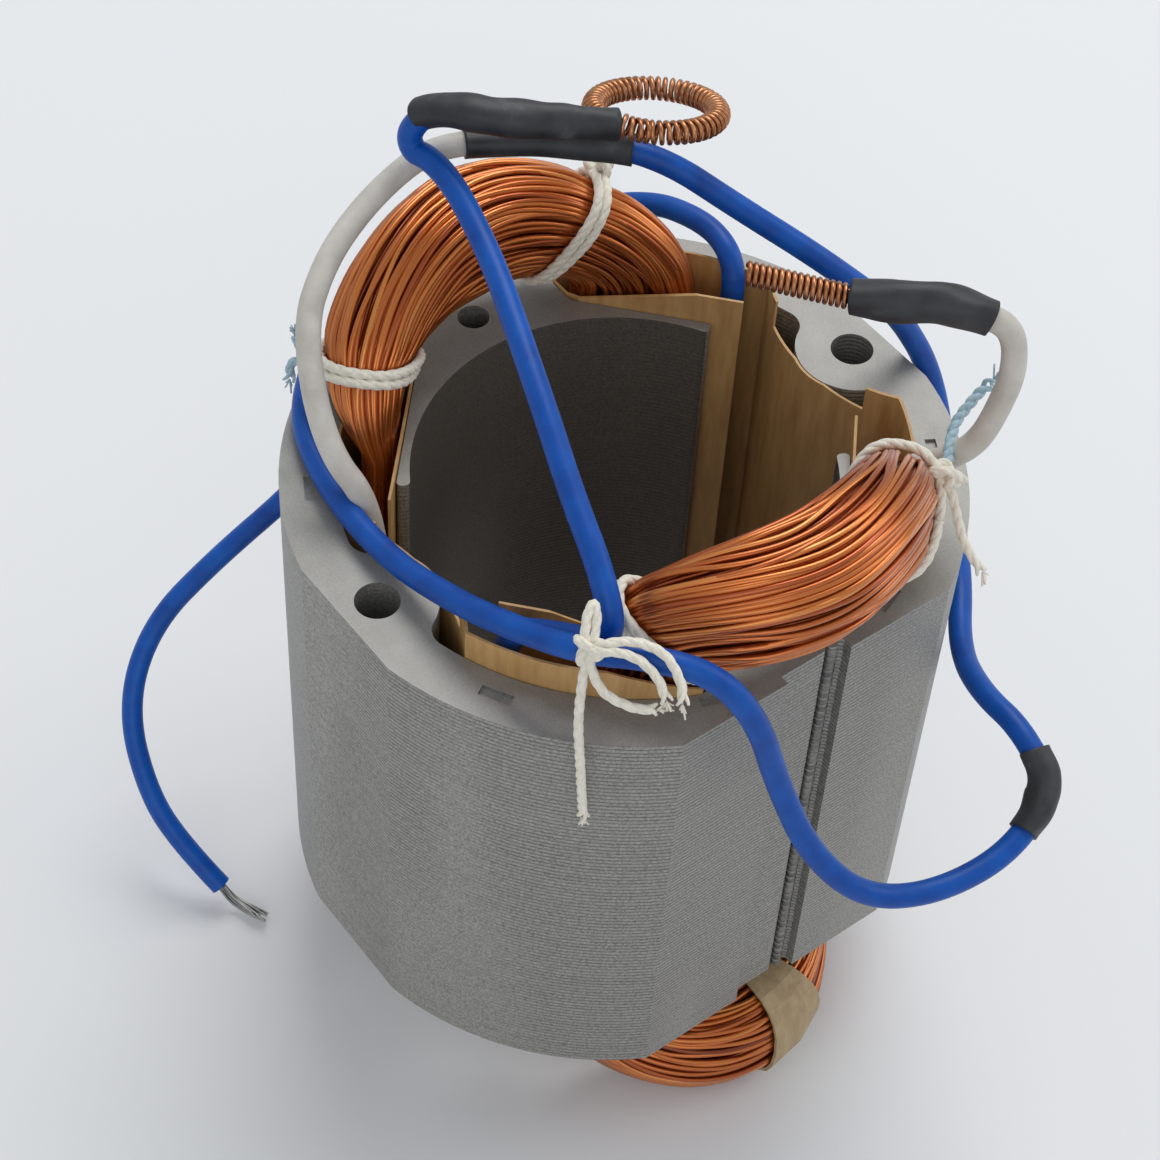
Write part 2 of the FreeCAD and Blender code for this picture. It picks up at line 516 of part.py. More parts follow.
def lacing_tie(angle, coil, knot_turn, tails):
    """Lacing cord round the right-hand bundle, with its knot at knot_turn degrees round the bundle.

    Each tail is (where it starts, in degrees round the bundle, and its route from there).
    """
    tie = bundle_ring((angle - TIE_HALF_ANGLE, angle + TIE_HALF_ANGLE), coil, TIE_GAP, TIE_THICKNESS)
    knot = bundle_point(angle, coil, math.radians(knot_turn), TIE_GAP + TIE_THICKNESS)
    tie = tie.fuse(Part.makeSphere(KNOT_RADIUS, knot, Vector(1, 1, 1)))
    for turn, route in tails:
        start = bundle_point(angle, coil, math.radians(turn), TIE_GAP + TIE_THICKNESS / 2)
        tie = tie.fuse(tube([tuple(start)] + route, LACING_DIAMETER / 2))
    return tie


def tape_wrap(coil):
    """Paper tape round the right-hand coil's lower end turn."""
    ring = bundle_ring(TAPE_ANGLES, lower_end_turn(coil), TAPE_GAP, TAPE_THICKNESS)
    return ring.mirror(Vector(0, 0, STACK_HEIGHT / 2), Vector(0, 0, 1))


# ---- The assembly -----------------------------------------------------------------------------------

def assembly():
    shrink_inside = LEAD_RADIUS + SHRINK_GAP
    spring_inside = SPRING_RADIUS + SHRINK_GAP
    return {
        "lamination_stack": lamination_stack(),
        "slot_liner_rear": slot_liner(CUFF_SLOPE_REAR, CUFF_SLOPE),
        "slot_liner_front": turned(slot_liner(CUFF_SLOPE_PRESSED, CUFF_SLOPE)),
        "field_coil_right": field_coil(RIGHT_COIL),
        "field_coil_left": turned(field_coil(LEFT_COIL)),
        "tape_wrap_right": tape_wrap(RIGHT_COIL),
        "tape_wrap_left": turned(tape_wrap(LEFT_COIL)),
        "lacing_tie_right_front": lacing_tie(-62.0, RIGHT_COIL, 22.0, FRONT_TAILS),
        "lacing_tie_right_rear": lacing_tie(61.0, RIGHT_COIL, 30.0, REAR_TAILS),
        "lacing_tie_left_front": turned(lacing_tie(63.0, LEFT_COIL, 24.0, [])),
        "lacing_tie_left_rear": turned(lacing_tie(-40.0, LEFT_COIL, 60.0, [])),
        "blue_lead_riser": tube(RISER_ROUTE, LEAD_RADIUS),
        "blue_lead_loop": tube(LOOP_ROUTE, LEAD_RADIUS),
        "blue_lead_return": tube(RETURN_ROUTE, LEAD_RADIUS),
        "blue_lead_free": tube(FREE_ROUTE, LEAD_RADIUS),
        "bare_strand_end": tube(STRAND_END_ROUTE, STRAND_END_DIAMETER / 2),
        "white_sleeve_front": tube(FRONT_SLEEVE_ROUTE, SLEEVE_RADIUS),
        "white_sleeve_rear": tube(REAR_SLEEVE_ROUTE, SLEEVE_RADIUS),
        "shrink_tube_upper": shrink_tube(UPPER_SHRINK_ROUTE, spring_inside),
        "shrink_tube_lower": shrink_tube(LOWER_SHRINK_ROUTE, shrink_inside),
        "shrink_tube_rear": shrink_tube(REAR_SHRINK_ROUTE, spring_inside),
        "shrink_tube_side": shrink_tube(SIDE_SHRINK_ROUTE, shrink_inside),
        "splice_upper": splice(UPPER_SHRINK_ROUTE),
        "splice_lower": splice(LOWER_SHRINK_ROUTE),
        "splice_rear": splice(REAR_SHRINK_ROUTE),
        "splice_side": splice(SIDE_SHRINK_ROUTE),
        "contact_spring_ring": ring_spring(),
        "contact_spring_straight": straight_spring(),
    }


def main():
    os.makedirs("parts", exist_ok=True)
    for name, shape in assembly().items():
        shape.exportStep(f"parts/{name}.step")
        print(f"{name}: {len(shape.Solids)} solid, {shape.Volume:.1f} mm3, valid {shape.isValid()}")
    print(f"cord radii: leads {LEAD_RADIUS} mm, sleeves {SLEEVE_RADIUS} mm")


main()
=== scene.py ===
import bpy
import math
import numpy as np
from mathutils import Matrix, Vector


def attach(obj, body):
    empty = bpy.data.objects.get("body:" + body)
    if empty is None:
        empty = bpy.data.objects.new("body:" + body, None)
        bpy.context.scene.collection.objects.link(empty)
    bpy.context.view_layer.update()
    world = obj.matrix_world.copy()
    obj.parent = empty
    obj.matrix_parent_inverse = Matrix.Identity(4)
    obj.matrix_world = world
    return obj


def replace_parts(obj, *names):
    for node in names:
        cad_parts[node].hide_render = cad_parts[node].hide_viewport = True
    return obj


# Visual model of the wound field stator.  Metres, in the CAD frame; the local tables below are in
# millimetres, as in the part's source, and are scaled by MM where they are used.

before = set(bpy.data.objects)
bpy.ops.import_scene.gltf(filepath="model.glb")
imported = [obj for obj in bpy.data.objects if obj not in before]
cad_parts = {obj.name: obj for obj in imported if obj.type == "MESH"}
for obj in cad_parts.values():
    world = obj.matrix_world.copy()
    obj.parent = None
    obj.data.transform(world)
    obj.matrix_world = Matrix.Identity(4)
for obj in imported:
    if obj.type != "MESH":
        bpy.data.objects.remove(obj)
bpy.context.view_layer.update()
MM = 0.001

# ---- Camera ------------------------------------------------------------------------------------------
CAMERA_PLACE = (0.125355, -0.108960, 0.231299)
CAMERA_AZIMUTH = math.radians(50.155)
CAMERA_ELEVATION = math.radians(49.859)
CAMERA_ROLL = math.radians(3.888)
CAMERA_LENS = 85.98

back = Vector((math.sin(CAMERA_AZIMUTH) * math.cos(CAMERA_ELEVATION),
               -math.cos(CAMERA_AZIMUTH) * math.cos(CAMERA_ELEVATION), math.sin(CAMERA_ELEVATION)))
level = Vector((math.cos(CAMERA_AZIMUTH), math.sin(CAMERA_AZIMUTH), 0.0))
upright = back.cross(level)
across = level * math.cos(CAMERA_ROLL) + upright * math.sin(CAMERA_ROLL)
upward = upright * math.cos(CAMERA_ROLL) - level * math.sin(CAMERA_ROLL)
camera = bpy.data.objects.new("camera", bpy.data.cameras.new("camera"))
camera.data.lens = CAMERA_LENS
camera.data.sensor_width = 36.0
camera.data.clip_start = 0.01
camera.data.clip_end = 10.0
camera.matrix_world = Matrix((
    (across.x, upward.x, back.x, CAMERA_PLACE[0]),
    (across.y, upward.y, back.y, CAMERA_PLACE[1]),
    (across.z, upward.z, back.z, CAMERA_PLACE[2]),
    (0.0, 0.0, 0.0, 1.0)))
bpy.context.scene.collection.objects.link(camera)
bpy.context.scene.camera = camera


# ---- Shader helpers ----------------------------------------------------------------------------------

def new_material(name):
    material = bpy.data.materials.new(name)
    material.use_nodes = True
    tree = material.node_tree
    return material, tree, tree.nodes["Principled BSDF"]


def node(tree, kind, inputs=None, **settings):
    made = tree.nodes.new(kind)
    for key, value in settings.items():
        setattr(made, key, value)
    for key, value in (inputs or {}).items():
        if isinstance(value, bpy.types.NodeSocket):
            tree.links.new(value, made.inputs[key])
        else:
            made.inputs[key].default_value = value
    return made


def ramp(tree, factor, stops):
    made = tree.nodes.new("ShaderNodeValToRGB")
    tree.links.new(factor, made.inputs[0])
    elements = made.color_ramp.elements
    while len(elements) < len(stops):
        elements.new(0.5)
    for element, (place, colour) in zip(elements, stops):
        element.position = place
        element.color = (*colour, 1.0)
    return made.outputs["Color"]


def noise(tree, place, scale, detail=3.0, roughness=0.5):
    return node(tree, "ShaderNodeTexNoise", {"Vector": place, "Scale": scale, "Detail": detail,
                                             "Roughness": roughness}).outputs["Fac"]


def stretched(tree, place, scale):
    return node(tree, "ShaderNodeMapping", {"Vector": place, "Scale": scale}).outputs["Vector"]


def bump(tree, height, distance, strength=1.0, under=None):
    inputs = {"Height": height, "Distance": distance, "Strength": strength}
    if under is not None:
        inputs["Normal"] = under
    return node(tree, "ShaderNodeBump", inputs).outputs["Normal"]


def place_of(tree):
    return node(tree, "ShaderNodeTexCoord").outputs["Object"]


def maths(tree, operation, first, second=0.5, third=0.5):
    made = tree.nodes.new("ShaderNodeMath")
    made.operation = operation
    for index, value in enumerate((first, second, third)):
        if isinstance(value, bpy.types.NodeSocket):
            tree.links.new(value, made.inputs[index])
        else:
            made.inputs[index].default_value = value
    return made.outputs[0]


def mixed(tree, factor, first, second, blend="MIX"):
    made = tree.nodes.new("ShaderNodeMix")
    made.data_type = "RGBA"
    made.blend_type = blend
    for index, value in ((0, factor), (6, first), (7, second)):
        if isinstance(value, bpy.types.NodeSocket):
            tree.links.new(value, made.inputs[index])
        else:
            made.inputs[index].default_value = value if index == 0 else (*value, 1.0)
    return made.outputs[2]


# ---- Materials ---------------------------------------------------------------------------------------
LAMINATION_PITCH = 0.5 * MM
# the bore's walls are painted darker, as shade
BORE_FACE_REACH = 19.25 * MM     # walls nearer to the axis than this are the bore's


def lamination_material():
    """Steel punchings: plain ground end faces, and the edges of the sheets on every upright surface; the bore's
    walls carry painted shade, a darker grey than the outer walls.
    """
    material, tree, shader = new_material("lamination_steel")
    place = place_of(tree)
    axes = node(tree, "ShaderNodeSeparateXYZ", {0: place}).outputs
    normal = node(tree, "ShaderNodeNewGeometry").outputs["Normal"]
    facing = node(tree, "ShaderNodeSeparateXYZ", {0: normal}).outputs
    level_face = maths(tree, "GREATER_THAN", maths(tree, "ABSOLUTE", facing["Z"]), 0.7)
    radius = maths(tree, "SQRT", maths(tree, "ADD", maths(tree, "MULTIPLY", axes["X"], axes["X"]),
                                       maths(tree, "MULTIPLY", axes["Y"], axes["Y"])))
    # mask of the bore's walls, which get painted shade
    bore_shade_mask = maths(tree, "LESS_THAN", radius, BORE_FACE_REACH)
    # the sheets' edges: a sharp line between two sheets, its strength varying round the stack
    sheet = maths(tree, "FRACT", maths(tree, "DIVIDE", axes["Z"], LAMINATION_PITCH))
    from_middle = maths(tree, "ABSOLUTE", maths(tree, "SUBTRACT", sheet, 0.5))
    seam = maths(tree, "POWER", maths(tree, "MULTIPLY", from_middle, 2.0), 3.0)
    each = node(tree, "ShaderNodeTexWhiteNoise",
                {"W": maths(tree, "FLOOR", maths(tree, "DIVIDE", axes["Z"], LAMINATION_PITCH))},
                noise_dimensions="1D").outputs["Value"]
    patches = noise(tree, stretched(tree, place, (60.0, 60.0, 12.0)), 1.0, 2.0)
    clear = node(tree, "ShaderNodeMapRange", {"Value": patches, "From Min": 0.42, "From Max": 0.58,
                                              "To Min": 0.22, "To Max": 1.0}).outputs[0]
    line = maths(tree, "MULTIPLY", seam, clear)
    grain = noise(tree, place, 4200.0, 3.0, 0.7)
    mottled = noise(tree, place, 260.0, 4.0, 0.6)
    side_grey = ramp(tree, grain, [(0.3, (0.17, 0.164, 0.148)), (0.5, (0.32, 0.311, 0.288)),
                                   (0.72, (0.49, 0.478, 0.448))])
    # painted shade: the bore's walls get a darker grey than the outer walls, for the shade inside the bore
    bore_painted_shade_grey = ramp(tree, grain, [(0.3, (0.11, 0.10, 0.086)), (0.7, (0.22, 0.205, 0.18))])
    walls = mixed(tree, bore_shade_mask, side_grey, bore_painted_shade_grey)
    walls = mixed(tree, maths(tree, "MULTIPLY", line, 0.72), walls, (0.045, 0.042, 0.038))
    brighter = maths(tree, "MULTIPLY", maths(tree, "MULTIPLY", each, 0.12),
                     maths(tree, "SUBTRACT", 1.0, bore_shade_mask))
    walls = mixed(tree, brighter, walls, (0.5, 0.49, 0.46))
    ends = ramp(tree, mottled, [(0.3, (0.28, 0.272, 0.25)), (0.5, (0.325, 0.317, 0.295)),
                                (0.72, (0.375, 0.366, 0.342))])
    speckle = ramp(tree, grain, [(0.3, (0.19, 0.185, 0.17)), (0.7, (0.44, 0.43, 0.405))])
    ends = mixed(tree, 0.35, ends, speckle)
    colour = mixed(tree, level_face, walls, ends)
    tree.links.new(colour, shader.inputs["Base Color"])
    shader.inputs["Metallic"].default_value = 0.5
    rough = node(tree, "ShaderNodeMapRange", {"Value": grain, "To Min": 0.42, "To Max": 0.62}).outputs[0]
    tree.links.new(rough, shader.inputs["Roughness"])
    upright_face = maths(tree, "SUBTRACT", 1.0, level_face)
    groove = maths(tree, "MULTIPLY", maths(tree, "MULTIPLY", line, -1.0), upright_face)
    first = bump(tree, groove, 0.06 * MM, 0.8)
    tree.links.new(bump(tree, grain, 0.012 * MM, 0.6, first), shader.inputs["Normal"])
    return material


def copper_material():
    """Enamelled winding wire: each wire has its own shade of amber, carried in a mesh attribute, which also
    carries painted shade: lower for the under layer and zero for the near-black core.
    """
    material, tree, shader = new_material("enamelled_copper")
    shade = node(tree, "ShaderNodeAttribute", attribute_name="shade").outputs["Fac"]
    place = place_of(tree)
    patches = noise(tree, place, 140.0, 3.0)
    # the low end of the ramp is near black: painted shade for the core and the darker under layer
    colour = ramp(tree, shade, [(0.0, (0.10, 0.016, 0.004)), (0.4, (0.47, 0.105, 0.017)),
                                (0.75, (0.74, 0.23, 0.042)), (1.0, (0.88, 0.36, 0.09))])
    colour = mixed(tree, maths(tree, "MULTIPLY", patches, 0.35), colour, (0.34, 0.045, 0.008))
    tree.links.new(colour, shader.inputs["Base Color"])
    shader.inputs["Metallic"].default_value = 0.8
    rough = node(tree, "ShaderNodeMapRange", {"Value": patches, "To Min": 0.2, "To Max": 0.42}).outputs[0]
    tree.links.new(rough, shader.inputs["Roughness"])
    shader.inputs["Coat Weight"].default_value = 0.6
    shader.inputs["Coat Roughness"].default_value = 0.12
    fine = noise(tree, place, 2600.0, 2.0)
    tree.links.new(bump(tree, fine, 0.01 * MM, 0.35), shader.inputs["Normal"])
    return material


def paper_material(name, light, dark, gloss):
    """Slot paper or tape: long fibres, a mottled tan and a slightly waxy surface."""
    material, tree, shader = new_material(name)
    place = place_of(tree)
    fibres = noise(tree, stretched(tree, place, (900.0, 900.0, 130.0)), 1.0, 4.0, 0.6)
    patches = noise(tree, place, 170.0, 3.0)
    middle = tuple((a + b) / 2 for a, b in zip(light, dark))
    colour = ramp(tree, fibres, [(0.3, dark), (0.52, middle), (0.75, light)])
    colour = mixed(tree, maths(tree, "MULTIPLY", patches, 0.4), colour, light)
    tree.links.new(colour, shader.inputs["Base Color"])
    rough = node(tree, "ShaderNodeMapRange", {"Value": fibres, "To Min": gloss, "To Max": gloss + 0.2})
    tree.links.new(rough.outputs[0], shader.inputs["Roughness"])
    first = bump(tree, patches, 0.25 * MM, 0.5)
    tree.links.new(bump(tree, fibres, 0.03 * MM, 0.5, first), shader.inputs["Normal"])
    return material


def plastic_material(name, stops, roughness, patch_scale, coat=0.0, specular=0.5):
    """Soft insulation: handling marks, faint length-wise streaks and a little dust in the surface."""
    material, tree, shader = new_material(name)
    place = place_of(tree)
    patches = noise(tree, place, patch_scale, 4.0, 0.6)
    fine = noise(tree, place, 3200.0, 2.0)
    tree.links.new(ramp(tree, patches, stops), shader.inputs["Base Color"])
    rough = node(tree, "ShaderNodeMapRange", {"Value": patches, "To Min": roughness[0], "To Max": roughness[1]})
    tree.links.new(rough.outputs[0], shader.inputs["Roughness"])
    shader.inputs["Coat Weight"].default_value = coat
    shader.inputs["Coat Roughness"].default_value = 0.25
    shader.inputs["Specular IOR Level"].default_value = specular
    first = bump(tree, patches, 0.12 * MM, 0.35)
    tree.links.new(bump(tree, fine, 0.01 * MM, 0.35, first), shader.inputs["Normal"])
    return material


def cord_material(name, light, dark):
    """Waxed lacing thread: the twisted strands are in the mesh, the fibres in the bump."""
    material, tree, shader = new_material(name)
    place = place_of(tree)
    fibres = noise(tree, stretched(tree, place, (2600.0, 2600.0, 1200.0)), 1.0, 4.0, 0.65)
    patches = noise(tree, place, 300.0, 2.0)
    colour = ramp(tree, fibres, [(0.3, dark), (0.6, light)])
    colour = mixed(tree, maths(tree, "MULTIPLY", patches, 0.3), colour, dark)
    tree.links.new(colour, shader.inputs["Base Color"])
    shader.inputs["Roughness"].default_value = 0.72
    shader.inputs["Sheen Weight"].default_value = 0.3
    tree.links.new(bump(tree, fibres, 0.06 * MM, 0.6), shader.inputs["Normal"])
    return material


def wire_material(name, stops, roughness):
    """Bare metal wire: drawn marks and tarnish."""
    material, tree, shader = new_material(name)
    place = place_of(tree)
    tarnish = noise(tree, place, 420.0, 3.0, 0.6)
    tree.links.new(ramp(tree, tarnish, stops), shader.inputs["Base Color"])
    shader.inputs["Metallic"].default_value = 1.0
    rough = node(tree, "ShaderNodeMapRange", {"Value": tarnish, "To Min": roughness[0], "To Max": roughness[1]})
    tree.links.new(rough.outputs[0], shader.inputs["Roughness"])
    tree.links.new(bump(tree, noise(tree, place, 5000.0, 2.0), 0.008 * MM, 0.4), shader.inputs["Normal"])
    return material


steel = lamination_material()
copper = copper_material()
paper = paper_material("slot_paper", (0.66, 0.41, 0.165), (0.42, 0.215, 0.07), 0.42)
tape = paper_material("paper_tape", (0.50, 0.38, 0.22), (0.30, 0.20, 0.10), 0.6)
blue = plastic_material("blue_insulation", [(0.3, (0.0, 0.050, 0.30)), (0.7, (0.0, 0.095, 0.46))],
                        (0.36, 0.5), 260.0, 0.0, 0.32)
white = plastic_material("white_sleeve", [(0.3, (0.50, 0.468, 0.415)), (0.7, (0.66, 0.63, 0.575))],
                         (0.5, 0.65), 300.0)
black = plastic_material("shrink_tubing", [(0.3, (0.012, 0.013, 0.015)), (0.6, (0.030, 0.032, 0.036)),
                                           (0.8, (0.085, 0.09, 0.095))], (0.42, 0.6), 380.0)
cream = cord_material("lacing_cord", (0.90, 0.86, 0.75), (0.72, 0.67, 0.55))
bluish = cord_material("lacing_cord_tinted", (0.45, 0.60, 0.66), (0.22, 0.36, 0.44))
spring_metal = wire_material("copper_spring", [(0.3, (0.36, 0.14, 0.06)), (0.7, (0.62, 0.30, 0.15))],
                             (0.25, 0.42))
tinned = wire_material("tinned_strands", [(0.3, (0.28, 0.28, 0.28)), (0.7, (0.5, 0.49, 0.47))], (0.3, 0.5))
weld = wire_material("weld", [(0.3, (0.09, 0.09, 0.09)), (0.7, (0.30, 0.29, 0.27))], (0.35, 0.55))
solder = wire_material("solder", [(0.3, (0.35, 0.35, 0.34)), (0.7, (0.58, 0.57, 0.55))], (0.2, 0.4))

# The nodes that no piece below replaces are seen themselves, so each gets a finish by its name.
FINISHES = {"lamination": steel, "slot": paper, "tape": tape, "splice": solder, "contact": spring_metal,
            "shrink": black}
for name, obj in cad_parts.items():
    obj.data.materials.clear()
    obj.data.materials.append(FINISHES.get(name.split("_")[0], cream))


# ---- Mesh helpers ------------------------------------------------------------------------------------

def piece(name, vertices, faces, material, shade=None, smooth=True):
    """A mesh object from points in millimetres, riding on the part."""
    mesh = bpy.data.meshes.new(name)
    corners = [[int(corner) for corner in face] for face in faces]
    mesh.from_pydata((np.asarray(vertices) * MM).tolist(), [], corners)
    mesh.update()
    if smooth:
        mesh.polygons.foreach_set("use_smooth", [True] * len(mesh.polygons))
    if shade is not None:
        attribute = mesh.attributes.new("shade", "FLOAT", "POINT")
        attribute.data.foreach_set("value", np.asarray(shade, np.float32))
    mesh.materials.append(material)
    obj = bpy.data.objects.new(name, mesh)
    bpy.context.scene.collection.objects.link(obj)
    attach(obj, "root")
    return obj


def carried_frame(along):
    """Side and over directions carried along unit directions with no twist."""
    start = np.cross(along[0], (0.0, 0.0, 1.0))
    if np.linalg.norm(start) < 0.1:
        start = np.cross(along[0], (1.0, 0.0, 0.0))
    sides_at = [start / np.linalg.norm(start)]
    for index in range(1, len(along)):
        carried = sides_at[-1] - along[index] * np.dot(sides_at[-1], along[index])
        sides_at.append(carried / np.linalg.norm(carried))
    side = np.array(sides_at)
    return side, np.cross(along, side)


def tube_mesh(points, radii, sides, closed=False):
    """Vertices and quads of a tube along points, with no twist; its ends are capped unless it is closed."""
    points = np.asarray(points, float)
    count = len(points)
    radii = np.broadcast_to(np.asarray(radii, float), (count,))
    if closed:
        along = np.roll(points, -1, 0) - np.roll(points, 1, 0)
    else:
        along = np.gradient(points, axis=0)
    along /= np.linalg.norm(along, axis=1)[:, None]
    side, over = carried_frame(along)
    turn = np.linspace(0, 2 * np.pi, sides, endpoint=False)
    ring = (side[:, None, :] * np.cos(turn)[None, :, None]
            + over[:, None, :] * np.sin(turn)[None, :, None])
    vertices = (points[:, None, :] + ring * radii[:, None, None]).reshape(-1, 3)
    faces = []
    shift = 0
    if closed:
        # the last ring meets the first at the offset that keeps the tube from twisting
        gaps = [np.linalg.norm(ring[-1] - np.roll(ring[0], -offset, 0)) for offset in range(sides)]
        shift = int(np.argmin(gaps))
    for index in range(count if closed else count - 1):
        here = index * sides
        there = ((index + 1) % count) * sides
        offset = shift if index == count - 1 else 0
        for k in range(sides):
            after = (k + 1) % sides
            faces.append((here + k, here + after,
                          there + (after + offset) % sides, there + (k + offset) % sides))
    if not closed:
        first, last = len(vertices), len(vertices) + 1
        end = (count - 1) * sides
        vertices = np.vstack([vertices, points[0], points[-1]])
        for k in range(sides):
            after = (k + 1) % sides
            faces.append((first, after, k, k))
            faces.append((last, end + k, end + after, end + after))
    return vertices, faces


def ring_faces(rings, around):
    """Quads between rings of around points each, the last ring meeting the first."""
    faces = []
    for index in range(rings):
        after = (index + 1) % rings
        for k in range(around):
            beside = (k + 1) % around
            faces.append((index * around + k, index * around + beside,
                          after * around + beside, after * around + k))
    return faces


def joined(parts):
    """Several (vertices, faces) as one, with triangles written as such."""
    vertices, faces, base = [], [], 0
    for some_vertices, some_faces in parts:
        vertices.append(some_vertices)
        for face in some_faces:
            corners = face if face[-1] != face[-2] else face[:-1]
            faces.append([base + corner for corner in corners])
        base += len(some_vertices)
    return np.vstack(vertices), faces


def smooth_line(points, step):
    """Points every step millimetres along a Catmull-Rom curve through the given ones."""
    points = np.asarray(points, float)
    padded = np.vstack([2 * points[0] - points[1], points, 2 * points[-1] - points[-2]])
    line = []
    for a, b, c, d in zip(padded, padded[1:], padded[2:], padded[3:]):
        pieces_here = max(2, int(np.linalg.norm(c - b) / step))
        for t in np.arange(pieces_here) / pieces_here:
            line.append(0.5 * (2 * b + (c - a) * t + (2 * a - 5 * b + 4 * c - d) * t ** 2
                               + (3 * b - a - 3 * c + d) * t ** 3))
    line.append(points[-1])
    return np.array(line)


def frames_along(line):
    """Unit direction, side and over at each point of a line."""
    along = np.gradient(line, axis=0)
    along /= np.linalg.norm(along, axis=1)[:, None]
    return along, *carried_frame(along)


def distance_along(line):
    """How far along the line each of its points is."""
    return np.concatenate([[0.0], np.cumsum(np.linalg.norm(np.diff(line, axis=0), axis=1))])


# ---- Cords -------------------------------------------------------------------------------------------
# Control points of each lead's and sleeve's spline, in millimetres, from the slot or splice outwards.
RISER_ROUTE = [
    (9.6, -20.9, 43.0), (10.3, -20.8, 52.4), (13.9, -19.4, 55.0), (20.5, -17.2, 58.2), (17.3, -16.4, 63.2),
    (10.7, -14.6, 65.4), (4.2, -12.5, 67.9), (-2.4, -10.3, 69.7), (-8.9, -8.0, 70.9), (-14.4, -6.6, 72.0),
    (-18.2, -6.1, 73.2), (-21.4, -6.3, 73.9), (-23.2, -6.9, 73.7), (-23.8, -6.8, 75.8), (-22.38, -5.45, 77.98),
]
LOOP_ROUTE = [
    (-25.0, -16.6, 51.3), (-21.4, -20.6, 51.3), (-13.0, -23.4, 51.4), (-2.6, -24.0, 51.6), (7.4, -23.1, 54.4),
    (15.0, -21.4, 57.0), (20.3, -19.8, 59.1), (24.0, -17.0, 60.3), (27.8, -12.9, 59.0), (30.6, -10.2, 53.9),
    (32.2, -8.5, 45.8), (35.4, -6.7, 38.1), (39.2, -2.9, 32.4), (41.8, 3.6, 30.8), (42.86, 11.24, 32.06),
    (41.86, 14.18, 33.5),
]
RETURN_ROUTE = [
    (38.96, 17.24, 35.78), (36.02, 17.8, 37.1), (29.9, 18.4, 35.9), (23.6, 22.0, 33.0), (17.0, 28.3, 33.0),
    (9.4, 32.0, 38.6), (5.0, 32.6, 47.4), (2.6, 29.2, 55.0), (2.0, 25.4, 59.3), (-1.3, 20.7, 64.2),
    (-6.1, 16.4, 67.8), (-12.16, 11.15, 72.5), (-15.01, 8.5, 72.5),
]
FREE_ROUTE = [
    (-10.3, 20.2, 43.0), (-10.6, 20.8, 51.6), (-12.6, 21.9, 54.6), (-17.4, 22.4, 54.9), (-24.0, 20.4, 53.8),
    (-30.6, 14.0, 49.6), (-33.0, 6.0, 43.6), (-34.0, -3.0, 33.4), (-35.4, -11.9, 23.2), (-38.2, -21.0, 15.0),
    (-39.5, -28.4, 8.2), (-36.4, -33.8, 1.6), (-30.0, -35.6, -5.2), (-25.0, -34.6, -9.8), (-20.9, -33.0, -13.1),
]
FRONT_SLEEVE_ROUTE = [
    (-8.1, -21.1, 43.0), (-7.8, -21.6, 51.6), (-11.8, -23.8, 56.9), (-18.6, -21.3, 63.9), (-21.5, -17.1, 67.4),
    (-23.3, -12.0, 69.6), (-24.3, -6.9, 71.0), (-23.46, -3.64, 72.5), (-21.7, -0.15, 72.5),
]
REAR_SLEEVE_ROUTE = [
    (17.3, 17.7, 54.9), (19.6, 19.6, 56.8), (21.5, 20.7, 60.0), (22.2, 21.4, 64.0), (22.3, 22.4, 68.4),
    (22.0, 21.3, 73.77), (19.6, 19.24, 74.66), (15.6, 14.6, 75.1), (13.9, 13.2, 74.85),
]
LEAD_RADIUS = 1.1


def add_spline(data, places):
    """One open NURBS spline with the places as its control points."""
    spline = data.splines.new("NURBS")
    spline.points.add(len(places) - 1)
    for point, place in zip(spline.points, places):
        point.co = (*place, 1.0)
    spline.order_u = 3
    spline.use_endpoint_u = True


def cord_curve(name, route, material):
    """A lead as one open NURBS spline with the route's points as its control points."""
    data = bpy.data.curves.new(name, "CURVE")
    data.dimensions = "3D"
    data.bevel_depth = LEAD_RADIUS * MM
    data.bevel_resolution = 6
    data.resolution_u = 16
    data.use_fill_caps = True
    add_spline(data, [tuple(value * MM for value in place) for place in route])
    data.materials.append(material)
    obj = bpy.data.objects.new(name, data)
    bpy.context.scene.collection.objects.link(obj)
    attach(obj, "root")
    return obj


def spline_line(route):
    """Points in millimetres along a route's NURBS spline, as Blender gives them for a curve with no bevel."""
    data = bpy.data.curves.new("line", "CURVE")
    data.dimensions = "3D"
    data.resolution_u = 24
    add_spline(data, route)
    obj = bpy.data.objects.new("line", data)
    mesh = bpy.data.meshes.new_from_object(obj)
    line = np.array([vertex.co[:] for vertex in mesh.vertices])
    bpy.data.objects.remove(obj)
    bpy.data.meshes.remove(mesh)
    return line


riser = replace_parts(cord_curve("riser_lead", RISER_ROUTE, blue), "blue_lead_riser")
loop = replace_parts(cord_curve("loop_lead", LOOP_ROUTE, blue), "blue_lead_loop")
to_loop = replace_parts(cord_curve("return_lead", RETURN_ROUTE, blue), "blue_lead_return")
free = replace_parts(cord_curve("free_lead", FREE_ROUTE, blue), "blue_lead_free")
front_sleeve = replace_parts(cord_curve("front_sleeve", FRONT_SLEEVE_ROUTE, white),
                           "white_sleeve_front")
rear_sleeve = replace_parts(cord_curve("rear_sleeve", REAR_SLEEVE_ROUTE, white),
                          "white_sleeve_rear")


